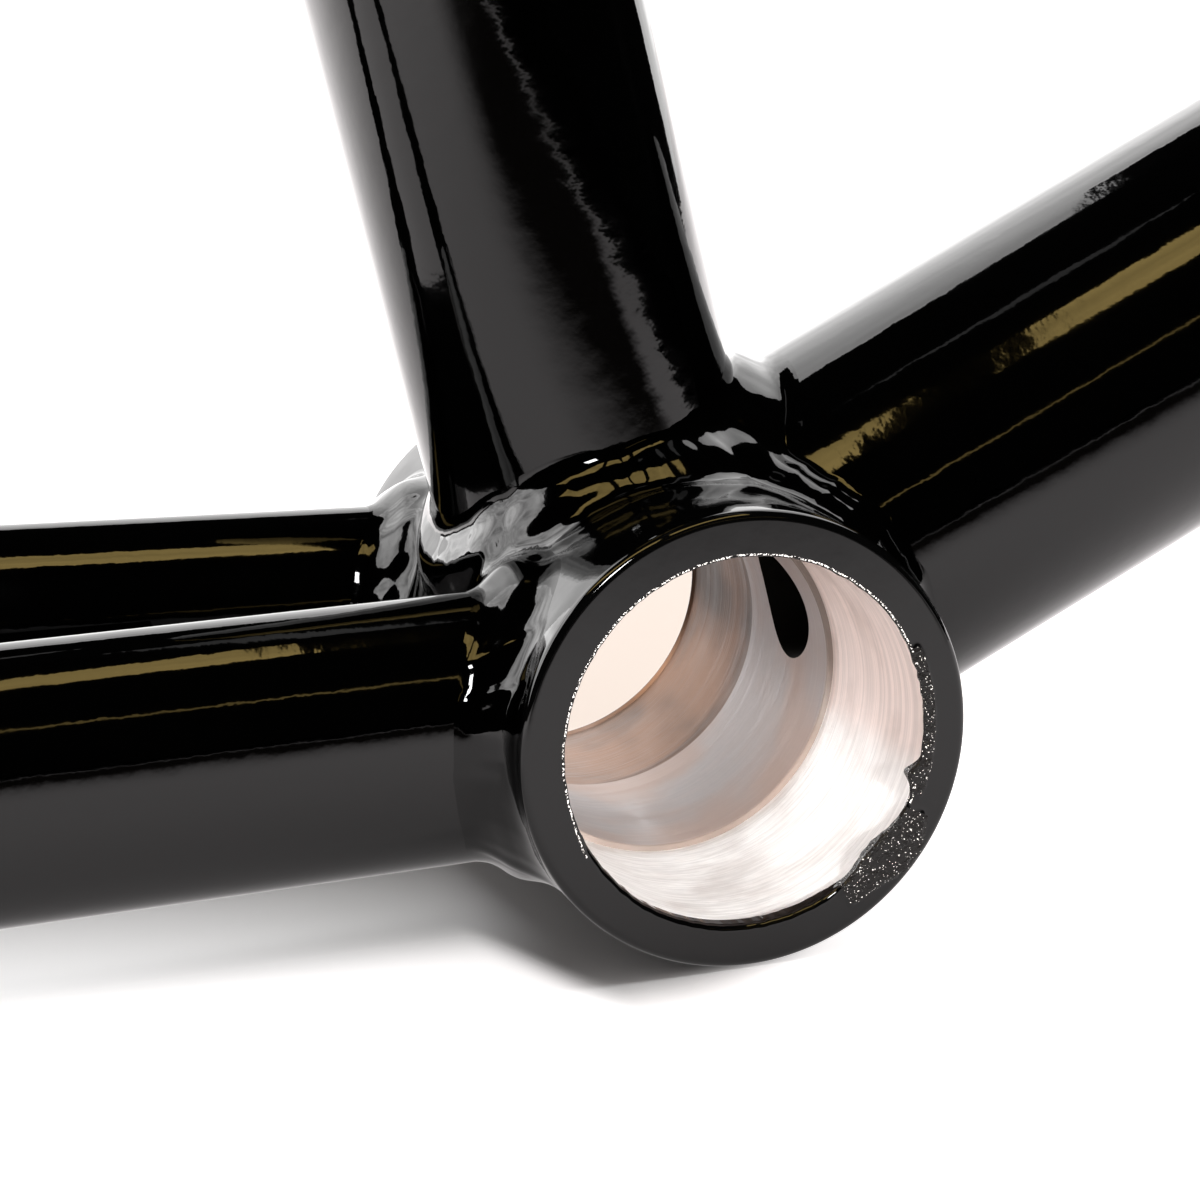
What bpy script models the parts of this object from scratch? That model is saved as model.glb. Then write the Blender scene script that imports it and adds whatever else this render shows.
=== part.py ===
"""Welded bottom bracket junction of a bicycle frame, with the stubs of its four tubes.

Frame: the origin is on the floor under the middle of the shell, which rests on z = 0.
+X points forward, +Y to the left side of the bicycle and +Z up. The shell's axis is
parallel to Y. The front and rear stubs reach equally far from it. Every length is in
metres.
"""

import math
from collections import namedtuple

import bmesh
import bpy
from mathutils import Matrix, Vector

MM = 0.001

# Bottom bracket shell: a turned tube for two bearings pressed into a bore of 37 mm.
SHELL_RADIUS = 22.5 * MM
SHELL_LENGTH = 68.4 * MM
SHELL_RIM_ROUND = 0.9 * MM
SEAT_RADIUS = 18.5 * MM
RIGHT_SEAT_DEPTH = 24.9 * MM
LEFT_SEAT_DEPTH = 21.0 * MM
MOUTH_CHAMFER = 0.5 * MM
LAND_RADIUS = 17.85 * MM

# Drain and vent hole from the shell into the down tube, drilled a little to the left.
VENT_RADIUS = 6.2 * MM
VENT_ANGLE = math.radians(12.0)
VENT_OFFSET = 1.5 * MM

# Tubes: angles are measured upward from +X. The seat tube's length runs from the shell's
# axis to its cut end, and the ends of the others lie at most STUB_REACH from that axis.
# The chainstays are pressed to an upright oval: STAY_RADIUS is half of its height.
STUB_REACH = 94.0 * MM

SEAT_TUBE_RADIUS = 16.45 * MM
SEAT_TUBE_WALL = 1.6 * MM
SEAT_TUBE_ANGLE = math.radians(101.8)
SEAT_TUBE_LENGTH = 88.0 * MM

DOWN_TUBE_RADIUS = 19.9 * MM
DOWN_TUBE_WALL = 1.6 * MM
DOWN_TUBE_ANGLE = math.radians(25.0)
DOWN_TUBE_OFFSET = 0.5 * MM

STAY_RADIUS = 13.35 * MM
STAY_HALF_WIDTH = 8.0 * MM
STAY_WALL = 1.5 * MM
STAY_HALF_SPACING = 18.0 * MM
STAY_SPLAY = math.radians(5.9)
STAY_RISE = math.radians(1.7)

# Weld beads: the radius of the filler around the line where two surfaces meet.
WELD_RADIUS = 4.6 * MM
STAY_WELD_RADIUS = 4.0 * MM
STAY_WELD_SETBACK = 0.4 * MM

GAP = 0.3 * MM

SHELL_STEPS = 64
TUBE_SIDES = 48
WELD_POINTS = 56
WELD_BEVEL_RESOLUTION = 2

BLACK_COAT = (0.012, 0.012, 0.013, 1.0)
COAT_ROUGHNESS = 0.08
WELD_ROUGHNESS = 0.12

SHELL_CENTRE = Vector((0.0, 0.0, SHELL_RADIUS))

# A tube's radius is measured upright, and its half width across: they differ on an oval.
Tube = namedtuple("Tube", "name start direction radius half_width wall length")


def frame_direction(angle):
    """The unit vector in the bicycle's middle plane at this angle above +X."""
    return Vector((math.cos(angle), 0.0, math.sin(angle)))


def stay_direction(side):
    """The unit vector from the shell towards the rear wheel's axle; side is +1 or -1."""
    across = side * math.tan(STAY_SPLAY)
    return Vector((-1.0, across, math.tan(STAY_RISE))).normalized()


def side_vectors(direction):
    """Two unit vectors square to the direction; the second lies near the Y axis."""
    first = Vector((0.0, 1.0, 0.0)).cross(direction).normalized()
    return first, direction.cross(first)


def tube_to_reach(name, start, direction, radius, half_width, wall):
    """A tube whose cut end, at its farthest, is STUB_REACH from the shell's axis."""
    first, second = side_vectors(direction)
    across = math.hypot(radius * first.x, half_width * second.x)
    end_x = math.copysign(STUB_REACH - across, direction.x)
    length = (end_x - start.x) / direction.x
    return Tube(name, start, direction, radius, half_width, wall, length)


SEAT_TUBE = Tube(
    "seat_tube",
    SHELL_CENTRE,
    frame_direction(SEAT_TUBE_ANGLE),
    SEAT_TUBE_RADIUS,
    SEAT_TUBE_RADIUS,
    SEAT_TUBE_WALL,
    SEAT_TUBE_LENGTH,
)
DOWN_TUBE = tube_to_reach(
    "down_tube",
    SHELL_CENTRE + frame_direction(DOWN_TUBE_ANGLE + math.pi / 2) * DOWN_TUBE_OFFSET,
    frame_direction(DOWN_TUBE_ANGLE),
    DOWN_TUBE_RADIUS,
    DOWN_TUBE_RADIUS,
    DOWN_TUBE_WALL,
)
RIGHT_STAY = tube_to_reach(
    "right_chainstay",
    SHELL_CENTRE + Vector((0.0, -STAY_HALF_SPACING, 0.0)),
    stay_direction(-1),
    STAY_RADIUS,
    STAY_HALF_WIDTH,
    STAY_WALL,
)
LEFT_STAY = tube_to_reach(
    "left_chainstay",
    SHELL_CENTRE + Vector((0.0, STAY_HALF_SPACING, 0.0)),
    stay_direction(1),
    STAY_RADIUS,
    STAY_HALF_WIDTH,
    STAY_WALL,
)
# The solid cylinder that the shell occupies, written as a tube so that one function
# finds where a tube meets the shell and where it meets another tube.
SHELL_BODY = Tube(
    "shell_body",
    SHELL_CENTRE - Vector((0.0, SHELL_LENGTH, 0.0)),
    Vector((0.0, 1.0, 0.0)),
    SHELL_RADIUS,
    SHELL_RADIUS,
    SHELL_RADIUS,
    2 * SHELL_LENGTH,
)


def clear_scene():
    for obj in list(bpy.data.objects):
        bpy.data.objects.remove(obj, do_unlink=True)


def new_collection(name):
    collection = bpy.data.collections.new(name)
    bpy.context.scene.collection.children.link(collection)
    return collection


def coat_material(name, roughness):
    """Black powder coat over steel."""
    material = bpy.data.materials.new(name)
    material.use_nodes = True
    shader = material.node_tree.nodes["Principled BSDF"]
    shader.inputs["Base Color"].default_value = BLACK_COAT
    shader.inputs["Roughness"].default_value = roughness
    shader.inputs["Metallic"].default_value = 0.0
    shader.inputs["Coat Weight"].default_value = 1.0
    material.diffuse_color = BLACK_COAT
    return material


def move_to(obj, collection):
    for owner in list(obj.users_collection):
        owner.objects.unlink(obj)
    collection.objects.link(obj)


def mark_as_cutter(obj):
    obj.hide_render = True
    obj.display_type = "WIRE"


def cut(obj, *cutters):
    """Subtract each cutter from the object, in order."""
    for cutter in cutters:
        modifier = obj.modifiers.new("cut_" + cutter.name, "BOOLEAN")
        modifier.operation = "DIFFERENCE"
        modifier.solver = "EXACT"
        modifier.object = cutter


def aim(obj, start, direction, length):
    """Lay a cylinder, made along its own Z about its middle, from start along direction."""
    obj.location = start + direction * (length / 2)
    obj.rotation_mode = "QUATERNION"
    obj.rotation_quaternion = direction.to_track_quat("Z", "Y")


def flatten(obj, tube, grow):
    """Narrow a round cylinder across to the tube's half width, both larger by grow."""
    share = (tube.half_width + grow) / (tube.radius + grow)
    obj.data.transform(Matrix.Diagonal((share, 1.0, 1.0, 1.0)))


def solid_cylinder(name, tube, grow, collection):
    """A full cylinder around a tube, larger than it by grow, to cut its neighbours with."""
    bpy.ops.mesh.primitive_cylinder_add(
        vertices=TUBE_SIDES, radius=tube.radius + grow, depth=tube.length
    )
    cutter = bpy.context.object
    cutter.name = name
    flatten(cutter, tube, grow)
    aim(cutter, tube.start, tube.direction, tube.length)
    move_to(cutter, collection)
    mark_as_cutter(cutter)
    return cutter


def hollow_tube(tube, material, collection):
    """An open cylinder whose wall grows inwards, so that its outer radius is the tube's."""
    bpy.ops.mesh.primitive_cylinder_add(
        vertices=TUBE_SIDES, radius=tube.radius, depth=tube.length, end_fill_type="NOTHING"
    )
    obj = bpy.context.object
    obj.name = tube.name
    flatten(obj, tube, 0.0)
    aim(obj, tube.start, tube.direction, tube.length)
    wall = obj.modifiers.new("wall", "SOLIDIFY")
    wall.thickness = tube.wall
    wall.offset = -1.0
    wall.use_even_offset = True
    obj.data.materials.append(material)
    obj.data.shade_smooth()
    move_to(obj, collection)
    return obj


def arc(centre, radius, from_degrees, to_degrees, points):
    """Points on an arc in the profile's plane, ends included."""
    spread = to_degrees - from_degrees
    angles = [math.radians(from_degrees + spread * i / (points - 1)) for i in range(points)]
    return [
        (centre[0] + radius * math.cos(a), centre[1] + radius * math.sin(a)) for a in angles
    ]


def shell_profile():
    """Half section of the shell as (radius, height), down the outside and up the bore."""
    end = SHELL_LENGTH / 2
    rim = SHELL_RADIUS - SHELL_RIM_ROUND
    right_shoulder = RIGHT_SEAT_DEPTH - end
    left_shoulder = end - LEFT_SEAT_DEPTH
    outside = arc((rim, end - SHELL_RIM_ROUND), SHELL_RIM_ROUND, 90, 0, 4)
    outside += arc((rim, SHELL_RIM_ROUND - end), SHELL_RIM_ROUND, 0, -90, 4)
    bore = [
        (SEAT_RADIUS + MOUTH_CHAMFER, -end),
        (SEAT_RADIUS, MOUTH_CHAMFER - end),
        (SEAT_RADIUS, right_shoulder),
        (LAND_RADIUS, right_shoulder),
        (LAND_RADIUS, left_shoulder),
        (SEAT_RADIUS, left_shoulder),
        (SEAT_RADIUS, end - MOUTH_CHAMFER),
        (SEAT_RADIUS + MOUTH_CHAMFER, end),
    ]
    return outside + bore


def turned_shell(material, collection):
    """The shell, turned about its own Z and then laid along Y."""
    profile = shell_profile()
    mesh = bpy.data.meshes.new("bottom_bracket_shell")
    edges = [(i, (i + 1) % len(profile)) for i in range(len(profile))]
    mesh.from_pydata([(radius, 0.0, height) for radius, height in profile], edges, [])
    obj = bpy.data.objects.new("bottom_bracket_shell", mesh)
    obj.location = SHELL_CENTRE
    obj.rotation_euler = (-math.pi / 2, 0.0, 0.0)
    turn = obj.modifiers.new("turn", "SCREW")
    turn.angle = 2 * math.pi
    turn.steps = SHELL_STEPS
    turn.render_steps = SHELL_STEPS
    turn.use_merge_vertices = True
    turn.merge_threshold = 0.00001
    mesh.materials.append(material)
    collection.objects.link(obj)
    return obj


def vent_cutter(collection):
    """A drill through the front wall of the shell, under the down tube."""
    drill = Tube(
        "vent_drill",
        SHELL_CENTRE + Vector((0.0, VENT_OFFSET, 0.0)),
        frame_direction(VENT_ANGLE),
        VENT_RADIUS,
        VENT_RADIUS,
        VENT_RADIUS,
        2 * SHELL_RADIUS,
    )
    return solid_cylinder("vent_drill", drill, 0.0, collection)


def meeting_point(tube, other, angle):
    """Where the line on the tube's surface at this angle comes out of another cylinder."""
    first, second = side_vectors(tube.direction)
    upright = first * (tube.radius * math.cos(angle))
    across = second * (tube.half_width * math.sin(angle))
    edge = tube.start + upright + across
    offset = edge - other.start
    flat_offset = offset - other.direction * offset.dot(other.direction)
    flat_along = tube.direction - other.direction * tube.direction.dot(other.direction)
    a = flat_along.length_squared
    b = flat_offset.dot(flat_along)
    c = flat_offset.length_squared - other.radius**2
    return edge + tube.direction * ((math.sqrt(b * b - a * c) - b) / a)


def bead(name, points, closed, radius, collection):
    """A round bead along a line of points, as a mesh."""
    curve = bpy.data.curves.new(name, "CURVE")
    curve.dimensions = "3D"
    curve.bevel_depth = radius
    curve.bevel_resolution = WELD_BEVEL_RESOLUTION
    curve.use_fill_caps = True
    spline = curve.splines.new("POLY")
    spline.points.add(len(points) - 1)
    spline.use_cyclic_u = closed
    for node, point in zip(spline.points, points):
        node.co = (point.x, point.y, point.z, 1.0)
    guide = bpy.data.objects.new(name + "_guide", curve)
    collection.objects.link(guide)
    bpy.context.view_layer.update()
    graph = bpy.context.evaluated_depsgraph_get()
    mesh = bpy.data.meshes.new_from_object(guide.evaluated_get(graph))
    solid = bmesh.new()
    solid.from_mesh(mesh)
    bmesh.ops.remove_doubles(solid, verts=solid.verts, dist=0.00001)
    solid.to_mesh(mesh)
    solid.free()
    mesh.name = name
    obj = bpy.data.objects.new(name, mesh)
    obj.matrix_world = guide.matrix_world
    collection.objects.link(obj)
    bpy.data.objects.remove(guide, do_unlink=True)
    return obj


def ring_points(tube, other):
    """The closed line where a tube meets another cylinder."""
    step = 2 * math.pi / WELD_POINTS
    return [meeting_point(tube, other, i * step) for i in range(WELD_POINTS)]


def arch_points(tube, other, half_angle, front):
    """The part of that line within half_angle of the direction called front."""
    count = WELD_POINTS // 2
    step = 2 * half_angle / (count - 1)
    return [
        meeting_point(tube, other, front - half_angle + i * step) for i in range(count)
    ]


def weld_lines():
    """Each bead as (name, points, closed, radius), in the order they are laid."""
    crotch_half_angle = math.radians(96)
    return [
        ("seat_tube_weld", ring_points(SEAT_TUBE, SHELL_BODY), True, WELD_RADIUS),
        ("down_tube_weld", ring_points(DOWN_TUBE, SHELL_BODY), True, WELD_RADIUS),
        (
            "seat_to_down_tube_weld",
            arch_points(SEAT_TUBE, DOWN_TUBE, crotch_half_angle, 0.0),
            False,
            WELD_RADIUS,
        ),
        ("right_chainstay_weld", ring_points(RIGHT_STAY, SHELL_BODY), True, STAY_WELD_RADIUS),
        ("left_chainstay_weld", ring_points(LEFT_STAY, SHELL_BODY), True, STAY_WELD_RADIUS),
    ]


def end_cutter(side, collection):
    """A block beyond one end face of the shell, so that no bead stands proud of the face."""
    reach = 4 * SHELL_RADIUS
    bpy.ops.mesh.primitive_cube_add(size=reach)
    block = bpy.context.object
    block.name = "right_end_block" if side < 0 else "left_end_block"
    face = SHELL_LENGTH / 2 - STAY_WELD_SETBACK
    block.location = SHELL_CENTRE + Vector((0.0, side * (face + reach / 2), 0.0))
    move_to(block, collection)
    mark_as_cutter(block)
    return block


def build_welds(material, parts, cutters, tube_cutters):
    """Lay the beads one after another, each cut back to the tubes and to earlier beads."""
    earlier = [end_cutter(-1, cutters), end_cutter(1, cutters)]
    for name, points, closed, radius in weld_lines():
        weld = bead(name, points, closed, radius, parts)
        weld.data.materials.append(material)
        weld.data.shade_smooth()
        cut(weld, *tube_cutters, *earlier)
        cutter = bead(name + "_cutter", points, closed, radius + GAP, cutters)
        mark_as_cutter(cutter)
        earlier.append(cutter)


def build():
    clear_scene()
    parts = new_collection("bottom_bracket")
    cutters = new_collection("cutters")
    coat = coat_material("black_powder_coat", COAT_ROUGHNESS)
    weld_coat = coat_material("black_coat_over_weld", WELD_ROUGHNESS)

    shell_cutter = solid_cylinder("shell_cutter", SHELL_BODY, GAP, cutters)
    seat_tube_cutter = solid_cylinder("seat_tube_cutter", SEAT_TUBE, GAP, cutters)
    tube_cutters = [
        shell_cutter,
        seat_tube_cutter,
        solid_cylinder("down_tube_cutter", DOWN_TUBE, GAP, cutters),
        solid_cylinder("right_chainstay_cutter", RIGHT_STAY, GAP, cutters),
        solid_cylinder("left_chainstay_cutter", LEFT_STAY, GAP, cutters),
    ]

    cut(turned_shell(coat, parts), vent_cutter(cutters))
    cut(hollow_tube(SEAT_TUBE, coat, parts), shell_cutter)
    cut(hollow_tube(DOWN_TUBE, coat, parts), shell_cutter, seat_tube_cutter)
    cut(hollow_tube(RIGHT_STAY, coat, parts), shell_cutter)
    cut(hollow_tube(LEFT_STAY, coat, parts), shell_cutter)
    build_welds(weld_coat, parts, cutters, tube_cutters)


build()
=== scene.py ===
"""Looks of a welded bicycle bottom bracket: gloss black tubes joined to a bored shell."""

import math
from collections import namedtuple

import bpy
import numpy as np
from mathutils import Matrix


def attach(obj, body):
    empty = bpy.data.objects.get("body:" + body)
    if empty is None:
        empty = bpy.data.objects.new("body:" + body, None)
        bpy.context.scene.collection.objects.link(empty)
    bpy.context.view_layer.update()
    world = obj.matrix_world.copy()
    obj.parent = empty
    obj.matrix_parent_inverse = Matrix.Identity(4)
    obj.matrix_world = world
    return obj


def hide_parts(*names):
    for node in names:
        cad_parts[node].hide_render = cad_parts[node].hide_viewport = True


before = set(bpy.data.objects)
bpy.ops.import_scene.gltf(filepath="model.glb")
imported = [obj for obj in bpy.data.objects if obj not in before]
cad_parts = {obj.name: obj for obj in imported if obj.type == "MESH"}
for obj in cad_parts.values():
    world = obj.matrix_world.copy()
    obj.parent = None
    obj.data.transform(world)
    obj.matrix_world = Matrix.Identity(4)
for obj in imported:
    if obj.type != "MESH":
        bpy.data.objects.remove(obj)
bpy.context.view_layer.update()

# ---------------------------------------------------------------- sizes, in millimetres
MM = 0.001
AXIS_HEIGHT = 22.5
SHELL_RADIUS = 22.5
SHELL_HALF = 34.2
RIM_ROUND = 0.9
SEAT_RADIUS = 18.5
RIGHT_SHOULDER = -9.3
LEFT_SHOULDER = 13.2
LAND_RADIUS = 17.85
LIP_RADIUS = 18.15
SHOULDER_BEVEL = 0.12
FAR_LIP = 0.3
CHIP_BASE = 0.06
CHIP_HEIGHT = 0.26
VENT_RADIUS = 6.2
VENT_ANGLE = 12.0
VENT_OFFSET = 1.5
TUBE_EDGE_ROUND = 0.22
TUBE_BORE_BEVEL = 0.15
TUBE_ROOT_GAP = 0.4
FLOOR_Z = -0.05

# Where the camera looks.
VIEW_FORWARD = (0.28640, 0.92485, -0.25025)

# The shell's surfaces, in the order of its materials. EDGE is settled face by face.
COAT, SEAT, LAND, SHOULDER, FAR_SEAT, CHIPPED, FRINGE, VENT_WALL, EDGE = range(9)
# A tube's surfaces, in the order of its materials.
TUBE_COAT, TUBE_INSIDE, TUBE_SAWN = range(3)

# A tube's radius is measured upright and its half width across: the chainstays are oval.
Tube = namedtuple("Tube", "start direction radius half_width wall length")
TUBES = {
    "shell": Tube((0.0, 0.0, 22.5), (0.0, 1.0, 0.0), 22.5, 22.5, 4.0, 0.0),
    "seat_tube": Tube((0.0, 0.0, 22.5), (-0.20450, 0.0, 0.97887), 16.45, 16.45, 1.6, 88.0),
    "down_tube": Tube((-0.211, 0.0, 22.953), (0.90631, 0.0, 0.42262), 19.9, 19.9, 1.6, 94.67),
    "right_chainstay": Tube(
        (0.0, -18.0, 22.5), (-0.99427, -0.10275, 0.02951), 13.35, 8.0, 1.5, 93.62
    ),
    "left_chainstay": Tube(
        (0.0, 18.0, 22.5), (-0.99427, 0.10275, 0.02951), 13.35, 8.0, 1.5, 93.62
    ),
}
STAYS = ("right_chainstay", "left_chainstay")
# How far along a tube from its start the tube, and any weld on it, begin to count.
TUBE_BEGINS = 4.0
WELD_BEGINS = 7.0


# ---------------------------------------------------------------- small vector helpers
def unit(v):
    """Rows of v scaled to length one."""
    v = np.asarray(v, float)
    return v / np.maximum(np.linalg.norm(v, axis=-1, keepdims=True), 1e-12)


def dot(a, b):
    """Row by row dot product."""
    return (a * b).sum(-1)


def smooth_step(low, high, x):
    """0 below low, 1 above high, with a smooth ramp between them."""
    t = np.clip((x - low) / (high - low), 0.0, 1.0)
    return t * t * (3.0 - 2.0 * t)


def side_vectors(tube):
    """The two directions across a tube: one in the upright plane, one towards +Y."""
    d = unit(tube.direction)
    if abs(d[1]) > 0.9:
        return np.array([1.0, 0.0, 0.0]), np.array([0.0, 0.0, 1.0])
    across = np.array([0.0, 1.0, 0.0])
    across = unit(across - (across @ d) * d)
    return np.cross(across, d), across


# ---------------------------------------------------------------- the skin of the joint
def tube_field(p, name):
    """Distance outside a tube's side, the normal there and the distance along its axis."""
    tube = TUBES[name]
    e1, e2 = side_vectors(tube)
    w = p - np.array(tube.start)
    u, v = w @ e1, w @ e2
    scaled = np.sqrt((u / tube.radius) ** 2 + (v / tube.half_width) ** 2)
    slope = (u / tube.radius**2)[..., None] * e1 + (v / tube.half_width**2)[..., None] * e2
    steep = np.maximum(np.linalg.norm(slope, axis=-1), 1e-9)
    return (scaled - 1.0) * scaled / steep, slope / steep[..., None], w @ unit(tube.direction)


def smooth_union(a, b, k):
    """Union of two distances with a blend of width k."""
    h = np.maximum(k - np.abs(a - b), 0.0) / k
    return np.minimum(a, b) - h * h * k * 0.25


def lumps(angle, count, seed, drift=0.5):
    """Uneven ripple round a joint, about -1 to 1, that closes on itself."""
    rng = np.random.RandomState(seed)
    a, b, c, d = rng.uniform(0.0, 2.0 * math.pi, 4)
    phase = count * angle + 2.0 * drift * np.sin(3.0 * angle + a) + drift * np.sin(7.0 * angle + b)
    slow = 0.5 + 0.5 * np.sin(4.0 * angle + c) * np.sin(2.0 * angle + d)
    return (0.35 + 0.65 * slow) * np.sin(phase + 0.6 * np.sin(phase + c))


def around(p, name):
    """Angle of a point round a tube, from its upper or front side towards +Y."""
    tube = TUBES[name]
    e1, e2 = side_vectors(tube)
    w = p - np.array(tube.start)
    return np.arctan2(w @ e2, w @ e1)


# Each weld: the tube it runs round, what it joins that to, bead radius, ripples round
# the tube, a seed, and how far the bead reaches from the corner along each surface.
Joint = namedtuple("Joint", "tube onto radius ripples seed reach")
JOINTS = {
    "seat_tube_weld": Joint("seat_tube", "shell", 2.6, 30, 11, 6.8),
    "down_tube_weld": Joint("down_tube", "shell", 2.4, 36, 23, 6.2),
    "seat_to_down_tube_weld": Joint("seat_tube", "down_tube", 2.9, 26, 37, 9.0),
    "right_chainstay_weld": Joint("right_chainstay", "shell", 2.3, 22, 41, 6.6),
    "left_chainstay_weld": Joint("left_chainstay", "shell", 2.3, 22, 59, 6.6),
}
# The part that cuts the line of a weld short, where three parts meet.
THIRD = {
    "seat_tube_weld": "down_tube",
    "down_tube_weld": "seat_tube",
    "seat_to_down_tube_weld": "shell",
}


def skin(p):
    """Signed distance of the coated skin: tubes, shell and the weld beads melted together."""
    shell, shell_n, _ = tube_field(p, "shell")
    parts = {"shell": (shell, shell_n, None)}
    for name in ("seat_tube", "down_tube") + STAYS:
        parts[name] = tube_field(p, name)
    x, z = p[..., 0], p[..., 2]
    crotch = smooth_step(36.0, 46.0, z) * smooth_step(-8.0, 4.0, x)
    rear = smooth_step(-6.0, -14.0, x)
    body = shell
    for name, blend in (
        ("down_tube", 1.6),
        ("seat_tube", 1.4 + 5.8 * crotch + 1.6 * rear),
        ("right_chainstay", 1.6),
        ("left_chainstay", 1.6),
    ):
        side, _, along = parts[name]
        body = smooth_union(body, np.maximum(side, TUBE_BEGINS - along), blend)
    for joint in JOINTS.values():
        da, na, sa = parts[joint.tube]
        db, nb, sb = parts[joint.onto]
        c = np.clip(dot(na, nb), -0.92, 0.92)
        q = np.sqrt(np.maximum(da * da + db * db - 2.0 * da * db * c, 0.0) / (1.0 - c * c))
        q = q + np.maximum(0.0, WELD_BEGINS - sa)
        if sb is not None:
            q = q + np.maximum(0.0, WELD_BEGINS - sb)
        angle = around(p, joint.tube)
        slow = 0.20 * lumps(angle, 9, joint.seed + 1, 0.8)
        body = smooth_union(body, q - joint.radius - slow, 2.4 + 1.0 * rear)
        ripple = lumps(angle + 0.012 * (sa + 0.5 * q), joint.ripples, joint.seed)
        depth = (0.08 - 0.055 * rear + 0.04 * crotch) * np.exp(-((q / 3.4) ** 4))
        body = body - depth * ripple
    r = shell + SHELL_RADIUS
    face = np.abs(p[..., 1]) - (SHELL_HALF - 0.03 + 0.30 * np.maximum(0.0, r - SHELL_RADIUS))
    return -smooth_union(-body, -face, 1.3)


def skin_normal(p, step=0.03):
    """Outward direction of the skin."""
    g = np.empty(p.shape)
    for axis in range(3):
        e = np.zeros(3)
        e[axis] = step
        g[..., axis] = skin(p + e) - skin(p - e)
    return unit(g)


def generator_hit(name, angle, other):
    """Where the line along a tube's side at this angle leaves another tube."""
    tube, target = TUBES[name], TUBES[other]
    e1, e2 = side_vectors(tube)
    d = unit(tube.direction)
    angle = np.asarray(angle, float)
    foot = np.array(tube.start) + tube.radius * np.cos(angle)[..., None] * e1
    foot = foot + tube.half_width * np.sin(angle)[..., None] * e2
    axis = unit(target.direction)
    w = foot - np.array(target.start)
    w = w - (w @ axis)[..., None] * axis
    v = d - (d @ axis) * axis
    b = w @ v
    c = dot(w, w) - target.radius**2
    root = np.sqrt(np.maximum(b * b - (v @ v) * c, 0.0))
    return foot + ((-b + root) / (v @ v))[..., None] * d


def joint_line(weld, spacing=0.33, past=2.6):
    """Points along the corner that a weld fills, evenly spaced, and whether they form a loop."""
    a, b = JOINTS[weld].tube, JOINTS[weld].onto
    start = 0.0 if weld == "seat_tube_weld" else -math.pi
    angle = np.linspace(start, start + 2.0 * math.pi, 2881)
    points = generator_hit(a, angle, b)
    step = np.linalg.norm(np.diff(points, axis=0), axis=1)
    run = np.concatenate([[0.0], np.cumsum(step)])
    third = THIRD.get(weld)
    loop = third is None
    low, high = 0.0, run[-1]
    if not loop:
        distance, _, along = tube_field(points, third)
        free = distance > 0.0
        if third != "shell":
            free = free | (along < 0.0)
        if b == "down_tube":
            free = free & (tube_field(points, b)[2] > 0.0)
        index = np.nonzero(free)[0]
        low, high = run[index[0]] - past, run[index[-1]] + past
    count = int((high - low) / spacing)
    at = np.linspace(low, high, count + 1)
    if loop:
        at = at[:-1]
    spread = np.interp(at, run, angle)
    return generator_hit(a, spread, b), loop


# ---------------------------------------------------------------- mesh building
def new_object(name, points, faces, materials, face_materials=None, normals=None):
    """A mesh object from points in millimetres."""
    mesh = bpy.data.meshes.new(name)
    mesh.from_pydata((np.asarray(points) * MM).tolist(), [], [list(map(int, f)) for f in faces])
    for material in materials:
        mesh.materials.append(material)
    if face_materials is not None:
        mesh.polygons.foreach_set("material_index", np.asarray(face_materials, np.int32))
    mesh.polygons.foreach_set("use_smooth", np.full(len(mesh.polygons), True))
    mesh.update()
    if normals is not None:
        mesh.normals_split_custom_set_from_vertices(np.asarray(normals).tolist())
    thing = bpy.data.objects.new(name, mesh)
    bpy.context.scene.collection.objects.link(thing)
    return thing


def grid_faces(rows, columns, close_rows, close_columns):
    """Quads of a grid of points stored row by row."""
    r = np.arange(rows if close_rows else rows - 1)
    c = np.arange(columns if close_columns else columns - 1)
    r, c = np.meshgrid(r, c, indexing="ij")
    r, c = r.ravel(), c.ravel()
    r2, c2 = (r + 1) % rows, (c + 1) % columns
    return np.stack([r * columns + c, r * columns + c2, r2 * columns + c2, r2 * columns + c], 1)


# Filled in before the beads are made: each weld's line and whether it is a loop.
WELD_LINES = {}
# A bead's keel lies this far under the corner, its edges go this far under the skin, and
# it starts to show this far above the bare tubes.
KEEL_DEPTH = 2.0
TUCK_DEPTH = 0.9
TOE_HEIGHT = 0.05
RAY_LENGTH = 13.0
RAY_STEP = 0.5


def nearest(points, line):
    """Distance from each point to the closest point of a line."""
    flat = points.reshape(-1, 3)
    best = np.full(len(flat), 1e9)
    for start in range(0, len(line), 64):
        part = line[start : start + 64]
        gap = np.linalg.norm(flat[:, None, :] - part[None, :, :], axis=2)
        best = np.minimum(best, gap.min(1))
    return best.reshape(points.shape[:-1])


def fan_rays(first, middle, last, rows):
    """Directions that sweep from first through middle to last at every point of a line."""
    half = rows // 2
    fan = []
    for start, stop, ts in (
        (first, middle, np.linspace(0.0, 1.0, half, endpoint=False)),
        (middle, last, np.linspace(0.0, 1.0, half + 1)),
    ):
        omega = np.arccos(np.clip(dot(start, stop), -1.0, 1.0))[:, None]
        for t in ts:
            mix = np.sin((1.0 - t) * omega) * start + np.sin(t * omega) * stop
            fan.append(unit(mix / np.sin(omega)))
    return np.stack(fan, 1)


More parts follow.
